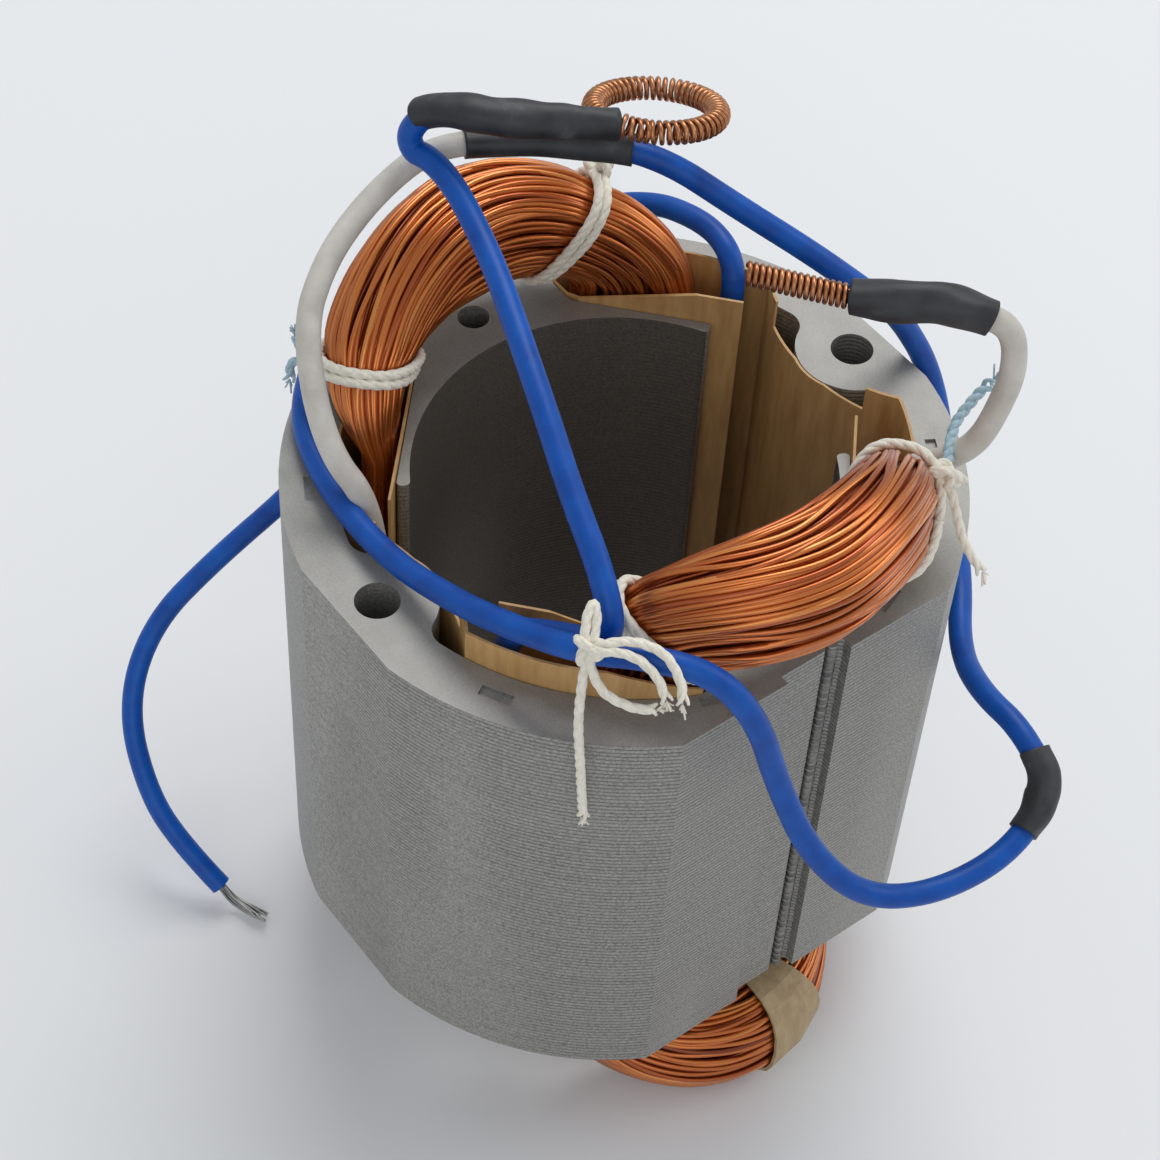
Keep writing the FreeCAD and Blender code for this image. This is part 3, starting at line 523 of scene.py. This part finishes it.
# ---- Winding bundles ---------------------------------------------------------------------------------
STACK_HEIGHT = 50.0
BORE_RADIUS = 19.1
POLE_HALF_WIDTH = 8.8
SHOE_ANGLE = math.radians(61.0)
SHOE_TIP = np.array([math.cos(SHOE_ANGLE), math.sin(SHOE_ANGLE)]) * (BORE_RADIUS + 1.3)
SHOE_ROOT = np.array([math.sqrt((BORE_RADIUS + 2.7) ** 2 - POLE_HALF_WIDTH ** 2), POLE_HALF_WIDTH])
SHOE_BACK = (SHOE_ROOT - SHOE_TIP) / np.linalg.norm(SHOE_ROOT - SHOE_TIP)
SHOE_NORMAL = np.array([-SHOE_BACK[1], SHOE_BACK[0]])
SLOT_ANGLE = math.atan2(SHOE_NORMAL[1], SHOE_NORMAL[0])
LINER_DEPTH = 0.35
COIL_CLEARANCE = 0.2
YOKE_INNER_RADIUS = 25.75
ROTOR_CLEARANCE = 0.65
END_TURN_THICKNESS = 10.0
END_TURN_HEIGHT = 12.0
END_TURN_LIFT = 3.4
RIGHT_COIL = dict(side_width=9.6, crown=2.6, front_bulge=0.4, rear_bulge=2.4)
LEFT_COIL = dict(side_width=12.2, crown=2.2, front_bulge=0.6, rear_bulge=3.6)
WIRE_RADIUS = 0.29
BUNDLE_SQUARENESS = 0.8
SWEEP = np.linspace(-90, 90, 61)   # stations over an end turn, in degrees
CORE_SIDES = 24
# the core is painted shade: near black, for the shade in the gaps between the wires
CORE_DEPTH = 1.05                  # bundle's surface to the dark core


def station(degrees, coil):
    """Centre, outward and upward half axes of the right-hand bundle at angles along its upper end turn."""
    angle = np.radians(np.atleast_1d(np.asarray(degrees, float)))
    along = np.sin(angle)
    rise = np.maximum(0.0, 1 - np.abs(along) ** coil["crown"]) ** (1 / coil["crown"])
    spread = np.cos(angle) ** 2
    bulge = np.where(along < 0, coil["front_bulge"], coil["rear_bulge"])
    swell = 2.5 * np.abs(along) ** 3 * rise * bulge
    inner_reach = SHOE_TIP @ SHOE_NORMAL + LINER_DEPTH + COIL_CLEARANCE
    outer_radius = YOKE_INNER_RADIUS - LINER_DEPTH - COIL_CLEARANCE
    neck = POLE_HALF_WIDTH + LINER_DEPTH + COIL_CLEARANCE
    near_run = (SHOE_NORMAL[1] * (inner_reach + 1.9) - neck) / -SHOE_BACK[1] - 1.2
    far_run = near_run - coil["side_width"]
    end_run = max(abs(near_run - coil["side_width"] * 0.12), abs(far_run))
    side_thickness = math.sqrt(outer_radius ** 2 - end_run ** 2) - inner_reach
    middle = SHOE_NORMAL * (inner_reach + side_thickness / 2)
    near = middle + SHOE_BACK * near_run
    far = middle + SHOE_BACK * far_run
    crossing = BORE_RADIUS + ROTOR_CLEARANCE + END_TURN_THICKNESS / 2
    low = np.stack([near[0] + (crossing - near[0]) * spread, near[1] * along,
                    STACK_HEIGHT + END_TURN_LIFT * rise], 1)
    high = np.stack([far[0] + (crossing - far[0]) * spread, far[1] * along,
                     STACK_HEIGHT + (END_TURN_LIFT + END_TURN_HEIGHT) * rise], 1)
    outward = np.stack([np.cos(SLOT_ANGLE * along), np.sin(SLOT_ANGLE * along), np.zeros_like(along)], 1)
    thickness = side_thickness + (END_TURN_THICKNESS - side_thickness) * spread + swell
    centre = (low + high) / 2 + outward * (swell / 2)[:, None]
    return centre, outward * (thickness / 2)[:, None], (high - low) / 2


def on_bundle(stations, turn, extra):
    """Points at an angle of turn round the bundle's section, moved out by extra."""
    centre, outward, upward = stations
    thick = np.linalg.norm(outward, axis=1)
    tall = np.linalg.norm(upward, axis=1)
    turn = np.broadcast_to(turn, thick.shape)
    wide = np.sign(np.cos(turn)) * np.abs(np.cos(turn)) ** BUNDLE_SQUARENESS
    high = np.sign(np.sin(turn)) * np.abs(np.sin(turn)) ** BUNDLE_SQUARENESS
    return (centre + outward * ((thick + extra) / thick * wide)[:, None]
            + upward * ((tall + extra) / tall * high)[:, None])


def lower_end_turn(coil):
    return dict(coil, crown=3.0, front_bulge=0.2, rear_bulge=0.2)


def half_turned(points, turn):
    """The points, or the points turned half a turn about the rotor axis."""
    return points * np.array([-1.0, -1.0, 1.0]) if turn else points


def coil_line(coil):
    """Stations once round a coil: over the top, down the rear slot, under and up the front slot."""
    upper = station(SWEEP, coil)
    lower = [part.copy() for part in station(SWEEP[::-1], lower_end_turn(coil))]
    lower[0][:, 2] = STACK_HEIGHT - lower[0][:, 2]
    lower[2][:, 2] *= -1
    heights = np.linspace(STACK_HEIGHT, 0, 9)[1:-1]
    down = [np.repeat(part[-1:], len(heights), 0) for part in upper]
    down[0][:, 2] = heights
    up = [np.repeat(part[:1], len(heights), 0) for part in upper]
    up[0][:, 2] = heights[::-1]
    return tuple(np.vstack(parts) for parts in zip(upper, down, lower, up))


def winding(name, coil, turn, wires, tie_angles, seed):
    """A bundle of single wires that wander a little and dive under one another, round a core painted near black
    as the shade between the wires; the under layer's wires are painted darker as shade.
    """
    rng = np.random.default_rng(seed)
    stations = coil_line(coil)
    count = len(stations[0])
    loop_angle = np.linspace(0, 2 * np.pi, count, endpoint=False)
    pinch = np.zeros(count)
    for tie_angle in tie_angles:
        pinch[:len(SWEEP)] += 0.35 * np.exp(-((SWEEP - tie_angle) / 5.5) ** 2)
    parts, tones_and_painted_shade = [], []
    layers = [(wires, 0.0, 0.30), (wires - 6, 0.52, 0.25)]
    for layer, (number, depth, spread) in enumerate(layers):
        for wire in range(number):
            base = 2 * np.pi * (wire + 0.5 * layer) / number
            wander = np.zeros(count)
            dive = np.zeros(count)
            for harmonic in (2, 3, 5, 8):
                wander += rng.normal(0, 0.022) * np.sin(harmonic * loop_angle + rng.uniform(0, 2 * np.pi))
                dive += rng.normal(0, 0.06) * np.sin(harmonic * loop_angle + rng.uniform(0, 2 * np.pi))
            if rng.uniform() < 0.16:
                wander += rng.uniform(0.06, 0.15) * np.sin(2 * loop_angle + rng.uniform(0, 2 * np.pi))
                dive -= 0.12
            extra = -(WIRE_RADIUS + depth + np.clip(0.14 + dive, 0.0, spread + 0.2)) - pinch
            points = half_turned(on_bundle(stations, base + wander, extra), turn)
            parts.append(tube_mesh(points, WIRE_RADIUS, 6, closed=True))
            # painted shade: the under layer's tone is 0.28 lower, darker for the shade under the wires above
            # it; the rest of the tone varies at random
            tone_and_layer_shade = np.clip(rng.normal(0.60 - 0.28 * layer, 0.15), 0.05, 0.98)
            tones_and_painted_shade.append(np.full(len(parts[-1][0]), tone_and_layer_shade))
    around = np.linspace(0, 2 * np.pi, CORE_SIDES, endpoint=False)
    strips = [half_turned(on_bundle(stations, angle, -CORE_DEPTH - pinch), turn) for angle in around]
    painted_shade_core = np.stack(strips, 1)
    parts.append((painted_shade_core.reshape(-1, 3), ring_faces(count, CORE_SIDES)))
    # painted shade: a shade of 0 makes the core near black, for the gaps between the wires
    tones_and_painted_shade.append(np.zeros(count * CORE_SIDES))
    vertices, faces = joined(parts)
    return piece(name, vertices, faces, copper, np.concatenate(tones_and_painted_shade))


TIE_RIGHT_FRONT, TIE_RIGHT_REAR, TIE_LEFT_FRONT, TIE_LEFT_REAR = -62.0, 61.0, 63.0, -40.0
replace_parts(winding("right_winding", RIGHT_COIL, False, 58, (TIE_RIGHT_FRONT, TIE_RIGHT_REAR), 11),
            "field_coil_right")
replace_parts(winding("left_winding", LEFT_COIL, True, 64, (TIE_LEFT_FRONT, TIE_LEFT_REAR), 23),
            "field_coil_left")

WELD_PLACE = (25.66, 2.4)
WELD_MARGIN = 0.3
POOL_LENGTH = 0.95


def weld_bead(name, turn):
    """The weld down the stack's groove: one small overlapping pool after another."""
    heights = np.arange(WELD_MARGIN, STACK_HEIGHT - WELD_MARGIN, 0.09)
    pools = np.abs(np.sin(np.pi * heights / POOL_LENGTH))
    points = np.stack([np.full_like(heights, WELD_PLACE[0]), np.full_like(heights, WELD_PLACE[1]), heights], 1)
    vertices, faces = joined([tube_mesh(half_turned(points, turn), 0.42 + 0.16 * pools ** 0.6, 10)])
    return piece(name, vertices, faces, weld)


weld_bead("weld_bead_right", False)
weld_bead("weld_bead_left", True)


# ---- Lacing ties -------------------------------------------------------------------------------------
THREAD_RADIUS = 0.46


def twisted(line, radius, strands=3, pitch=3.6, frayed=0.0):
    """A laid cord: strands wound round the line, spreading over the last frayed millimetres."""
    _, side, over = frames_along(line)
    reach = distance_along(line)
    parts = []
    ends = np.zeros(len(line))
    if frayed:
        ends = np.clip((reach - (reach[-1] - frayed)) / frayed, 0, 1)
    for strand in range(strands):
        turn = 2 * np.pi * (reach / pitch + strand / strands)
        away = radius * (0.34 + 1.0 * ends ** 1.5)
        points = line + side * (away * np.cos(turn))[:, None] + over * (away * np.sin(turn))[:, None]
        parts.append(tube_mesh(points, radius * (0.70 - 0.42 * ends), 7))
    return parts


def round_bundle(coil, degrees, turn, lift, slope):
    """A closed line round the bundle at a tie, slanting by slope degrees along it."""
    turns = np.linspace(0, 2 * np.pi, 140)
    line = []
    for angle in turns:
        at = station(degrees + slope * math.sin(angle), coil)
        line.append(on_bundle(at, angle, lift)[0])
    return half_turned(np.array(line), turn)


def knot_line(centre, normal, size):
    """The path of an overhand knot, flattened against the bundle."""
    normal = np.asarray(normal, float) / np.linalg.norm(normal)
    side = np.cross(normal, (0.0, 0.0, 1.0))
    side /= np.linalg.norm(side)
    over = np.cross(side, normal)
    turn = np.linspace(0, 2 * np.pi, 80)
    x = np.sin(turn) + 1.6 * np.sin(2 * turn)
    y = np.cos(turn) - 1.6 * np.cos(2 * turn)
    z = -np.sin(3 * turn)
    flat = (side * x[:, None] + over * y[:, None]) * (size / 2.2)
    return np.asarray(centre) + flat + normal * (z * size * 0.42)[:, None]


def fray(at, direction, length, number, seed):
    """Loose fibres fanning out from a cut end."""
    rng = np.random.default_rng(seed)
    direction = np.asarray(direction, float) / np.linalg.norm(direction)
    parts = []
    for _ in range(number):
        lean = direction + rng.normal(0, 0.3, 3)
        curl = rng.normal(0, 0.35, 3)
        reach = length * rng.uniform(0.5, 1.0)
        t = np.linspace(0, 1, 8)[:, None]
        points = np.asarray(at) + lean * t * reach + curl * t ** 2 * reach * 0.5
        parts.append(tube_mesh(points, 0.085, 4))
    return parts


def bundle_place(coil, degrees, turns, lift, turn):
    """A point lift off the bundle's surface, at an angle of turns degrees round its section."""
    return half_turned(on_bundle(station(degrees, coil), math.radians(turns), lift), turn)[0]


def tie(name, replaced, coil, degrees, turn, knot_turn, tails, material=cream, knot_material=cream, place=None):
    """Two turns of lacing cord side by side, their knot, and the tails that leave it."""
    parts = []
    for offset, slope in ((-2.3, 1.4), (2.3, -0.8)):
        line = round_bundle(coil, degrees + offset, turn, THREAD_RADIUS * 0.55, slope)
        parts += twisted(line, THREAD_RADIUS)
    vertices, faces = joined(parts)
    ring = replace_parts(piece(name, vertices, faces, material), replaced)
    centre = bundle_place(coil, degrees, knot_turn, 1.0, turn)
    away = centre - bundle_place(coil, degrees, knot_turn, -3.0, turn)
    if place is not None:
        centre = np.array(place)
    parts = twisted(knot_line(centre, away, 1.05), THREAD_RADIUS * 0.9)
    for route, frayed in tails:
        line = smooth_line([centre] + route, 0.22)
        parts += twisted(line, THREAD_RADIUS * 0.9, frayed=frayed)
        if frayed:
            parts += fray(line[-1], line[-1] - line[-6], 0.9, 8, len(name) + len(route))
    vertices, faces = joined(parts)
    return ring, piece(name + "_knot", vertices, faces, knot_material)


tie("lacing_right_front", "lacing_tie_right_front", RIGHT_COIL, TIE_RIGHT_FRONT, False, 22.0, [
    ([(21.8, -21.6, 58.0), (22.4, -22.2, 54.0), (23.2, -22.4, 49.6), (23.4, -21.8, 41.5)], 1.5),
    ([(20.2, -20.3, 61.4), (19.2, -19.3, 62.6), (19.0, -18.6, 63.0), (19.8, -18.9, 62.2),
      (20.8, -19.9, 61.0)], 0.0),
    ([(21.9, -19.6, 61.6), (22.7, -18.4, 61.9), (23.9, -17.2, 61.9), (25.6, -16.3, 61.4), (27.4, -16.2, 59.9),
      (28.4, -16.7, 58.6)], 1.2),
    ([(22.0, -20.2, 61.2), (23.2, -19.0, 61.4), (24.6, -18.0, 61.0), (26.2, -17.5, 60.0),
      (27.5, -17.6, 58.7)], 1.0),
    ([(22.3, -21.0, 59.4), (23.9, -20.8, 58.2), (25.9, -19.5, 57.6), (27.2, -18.2, 57.8)], 0.6),
], place=(20.9, -20.4, 60.4))
tie("lacing_right_rear", "lacing_tie_right_rear", RIGHT_COIL, TIE_RIGHT_REAR, False, 30.0, [
    ([(24.0, 16.4, 57.0), (26.6, 15.6, 55.0), (29.0, 15.8, 53.4)], 0.8),
    ([(21.6, 15.4, 59.6), (22.6, 16.4, 60.0), (23.4, 17.8, 58.6)], 0.0),
])
tie("lacing_left_front", "lacing_tie_left_front", LEFT_COIL, TIE_LEFT_FRONT, True, 24.0, [
    ([(-23.0, -19.2, 57.6), (-23.0, -19.4, 59.0)], 1.0),
    ([(-22.8, -20.0, 55.8), (-22.7, -20.4, 54.0)], 1.3),
], cream, bluish)
tie("lacing_left_rear", "lacing_tie_left_rear", LEFT_COIL, TIE_LEFT_REAR, True, 60.0, [
    ([(-21.4, 12.6, 64.4), (-20.5, 12.0, 66.0)], 0.0),
    ([(-21.9, 14.4, 64.2), (-21.6, 15.2, 65.4)], 0.9),
])


def loose_thread(name, route, material):
    """A tail of lacing cord that stands away from its knot."""
    line = smooth_line(route, 0.2)
    vertices, faces = joined(twisted(line, 0.5, 2, 2.0, 1.6) + fray(line[-1], line[-1] - line[-6], 1.8, 8, 77))
    return piece(name, vertices, faces, material)


loose_thread("lacing_right_rear_tail", [
    (21.4, 17.6, 58.6), (19.6, 19.4, 58.8), (18.3, 21.3, 59.4), (17.9, 23.5, 60.7), (17.9, 25.4, 61.7),
], bluish)


# ---- Shrink tubes, splices, springs and strand end ----------------------------------------------------
UPPER_SHRINK_ROUTE = [(-23.27, -6.09, 77.2), (-21.67, -4.93, 78.6), (-16.8, -0.3, 78.2), (-12.9, 7.2, 77.2)]
LOWER_SHRINK_ROUTE = [(-22.56, -1.85, 72.5), (-20.67, 1.89, 72.5), (-17.41, 6.26, 72.5), (-13.62, 9.79, 72.5)]
REAR_SHRINK_ROUTE = [(20.6, 20.1, 74.3), (18.4, 18.2, 75.1), (15.6, 14.6, 75.1), (12.4, 11.9, 74.6)]
SIDE_SHRINK_ROUTE = [(42.28, 12.96, 32.9), (41.31, 15.82, 34.3), (39.9, 17.0, 35.3), (37.75, 17.56, 36.4)]
STRAND_END_ROUTE = [(-20.87, -32.99, -13.13), (-19.1, -32.3, -14.55), (-15.8, -30.8, -14.9)]
SHRINK_SIDES = 28
SHRINK_WALL = 0.3


def shrink(name, route, replaced, swells, outer, seed):
    """A shrunk tube: a wall with open mouths that follows the lumps of the splice inside it."""
    rng = np.random.default_rng(seed)
    line = spline_line(route)
    _, side, over = frames_along(line)
    reach = distance_along(line)
    share = reach / reach[-1]
    radius = np.full(len(line), outer)
    for place, width, height in swells:
        radius += height * np.exp(-((share - place) / width) ** 2)
    turn = np.linspace(0, 2 * np.pi, SHRINK_SIDES, endpoint=False)
    dents = np.zeros((len(line), SHRINK_SIDES))
    for _ in range(5):
        dents += 0.075 * rng.uniform(0.4, 1) * np.sin(rng.integers(1, 4) * turn[None, :]
                                                      + rng.uniform(-2.2, 2.2) * share[:, None] * 2 * np.pi
                                                      + rng.uniform(0, 2 * np.pi))

    def skin(radii):
        return (line[:, None, :] + side[:, None, :] * (radii * np.cos(turn)[None, :])[:, :, None]
                + over[:, None, :] * (radii * np.sin(turn)[None, :])[:, :, None])

    outside = skin(radius[:, None] + dents)
    inside = skin(radius[:, None] + dents - SHRINK_WALL)
    rings = np.concatenate([outside, inside[::-1]], 0)
    faces = ring_faces(len(rings), SHRINK_SIDES)
    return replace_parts(piece(name, rings.reshape(-1, 3), faces, black), replaced)


upper_tube = shrink("upper_shrink", UPPER_SHRINK_ROUTE, "shrink_tube_upper",
                    [(0.28, 0.09, 0.22), (0.5, 0.12, 0.3), (0.72, 0.06, 0.14)], 1.42, 3)
lower_tube = shrink("lower_shrink", LOWER_SHRINK_ROUTE, "shrink_tube_lower", [(0.5, 0.25, 0.12)], 1.42, 5)
rear_tube = shrink("rear_shrink", REAR_SHRINK_ROUTE, "shrink_tube_rear",
                   [(0.25, 0.2, 0.22), (0.65, 0.2, 0.3)], 1.5, 7)
side_tube = shrink("side_shrink", SIDE_SHRINK_ROUTE, "shrink_tube_side", [(0.4, 0.2, 0.1)], 1.42, 9)

SPRING_RADIUS = 1.1
SPRING_WIRE = 0.46
STEPS_PER_TURN = 14
RING_SPRING_RADIUS = 5.4
RING_CENTRE = np.array([-14.65, 12.83, 74.8])
RING_RIGHT = np.array([0.640, 0.768, 0.0])
RING_FAR = np.array([-0.724, 0.603, -0.34])


def helix(name, replaced, line, turns):
    """A coil spring: one wire wound turns times round the line."""
    reach = distance_along(line)
    steps = turns * STEPS_PER_TURN
    places = np.linspace(0, reach[-1], steps + 1)
    dense = np.stack([np.interp(places, reach, line[:, axis]) for axis in range(3)], 1)
    _, side, over = frames_along(dense)
    turn = np.linspace(0, 2 * np.pi * turns, steps + 1)
    radius = SPRING_RADIUS - SPRING_WIRE / 2
    points = dense + side * (radius * np.cos(turn))[:, None] + over * (radius * np.sin(turn))[:, None]
    vertices, faces = joined([tube_mesh(points, SPRING_WIRE / 2, 7)])
    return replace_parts(piece(name, vertices, faces, spring_metal), replaced)


mouth = np.array(UPPER_SHRINK_ROUTE[-1])
angles = np.radians(np.linspace(-95, 213, 90))
ring_shape = RING_RIGHT * np.cos(angles)[:, None] + RING_FAR * np.sin(angles)[:, None]
ring_line = RING_CENTRE + ring_shape * RING_SPRING_RADIUS
entry = smooth_line([mouth, (mouth + ring_line[0]) / 2 + np.array([0.1, -0.3, 0.1]), ring_line[0]], 0.3)[:-1]
helix("ring_spring", "contact_spring_ring", np.vstack([entry, ring_line]), 50)
rear_mouth = np.array(REAR_SHRINK_ROUTE[-1])
SPRING_TIP = np.array([6.1, 6.0, 75.5])
straight_line = rear_mouth + (SPRING_TIP - rear_mouth) * np.linspace(0.02, 1, 40)[:, None]
straight_spring = helix("straight_spring", "contact_spring_straight", straight_line, 16)


def strand_end():
    """Tinned strands, twisted at the insulation and splayed at their tips."""
    rng = np.random.default_rng(31)
    line = smooth_line(STRAND_END_ROUTE, 0.3)
    _, side, over = frames_along(line)
    share = distance_along(line) / distance_along(line)[-1]
    parts = []
    for strand in range(19):
        turn = rng.uniform(0, 2 * np.pi) + 1.6 * share
        away = np.sqrt(rng.uniform(0.05, 1)) * 0.42 * (1 + rng.uniform(0.2, 1.6) * share ** 2)
        points = line + side * (away * np.cos(turn))[:, None] + over * (away * np.sin(turn))[:, None]
        parts.append(tube_mesh(points[:len(points) - rng.integers(0, 5)], 0.1, 5))
    vertices, faces = joined(parts)
    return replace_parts(piece("strand_end", vertices, faces, tinned), "bare_strand_end")


strands = strand_end()


def length_of(route):
    """The length in metres of a route's spline."""
    return float(distance_along(spline_line(route))[-1]) * MM


length_of(RISER_ROUTE)
length_of(LOOP_ROUTE)
length_of(RETURN_ROUTE)
length_of(FREE_ROUTE)
length_of(FRONT_SLEEVE_ROUTE)
length_of(REAR_SLEEVE_ROUTE)


# ---- Floor, light and world ---------------------------------------------------------------------------
FLOOR_HEIGHT = -15.9 * MM


def floor_piece():
    mesh = bpy.data.meshes.new("floor")
    corners = [(-3, -3, FLOOR_HEIGHT), (3, -3, FLOOR_HEIGHT), (3, 3, FLOOR_HEIGHT), (-3, 3, FLOOR_HEIGHT)]
    mesh.from_pydata(corners, [], [(0, 1, 2, 3)])
    material, tree, shader = new_material("floor")
    cloud = noise(tree, place_of(tree), 2.0, 2.0)
    colour = ramp(tree, cloud, [(0.2, (0.78, 0.79, 0.80)), (0.8, (0.82, 0.83, 0.84))])
    tree.links.new(colour, shader.inputs["Base Color"])
    shader.inputs["Roughness"].default_value = 0.6
    mesh.materials.append(material)
    obj = bpy.data.objects.new("floor", mesh)
    bpy.context.scene.collection.objects.link(obj)


def lamp(name, place, target, size, power):
    data = bpy.data.lights.new(name, "AREA")
    data.shape = "DISK"
    data.size = size
    data.energy = power
    obj = bpy.data.objects.new(name, data)
    obj.location = place
    obj.rotation_mode = "QUATERNION"
    obj.rotation_quaternion = (Vector(target) - Vector(place)).to_track_quat("-Z", "Y")
    bpy.context.scene.collection.objects.link(obj)


floor_piece()
CENTRE = (0.0, 0.0, 0.03)
lamp("key", (-0.30, 0.35, 0.80), CENTRE, 0.55, 3.4)
lamp("fill", (0.75, -0.55, 0.55), CENTRE, 0.8, 1.5)
lamp("rim", (0.35, 0.75, 0.5), CENTRE, 0.5, 1.2)
world = bpy.data.worlds.new("world")
bpy.context.scene.world = world
world.use_nodes = True
world.node_tree.nodes["Background"].inputs["Color"].default_value = (0.90, 0.93, 0.97, 1.0)
world.node_tree.nodes["Background"].inputs["Strength"].default_value = 0.58
bpy.context.scene.view_settings.view_transform = "Standard"
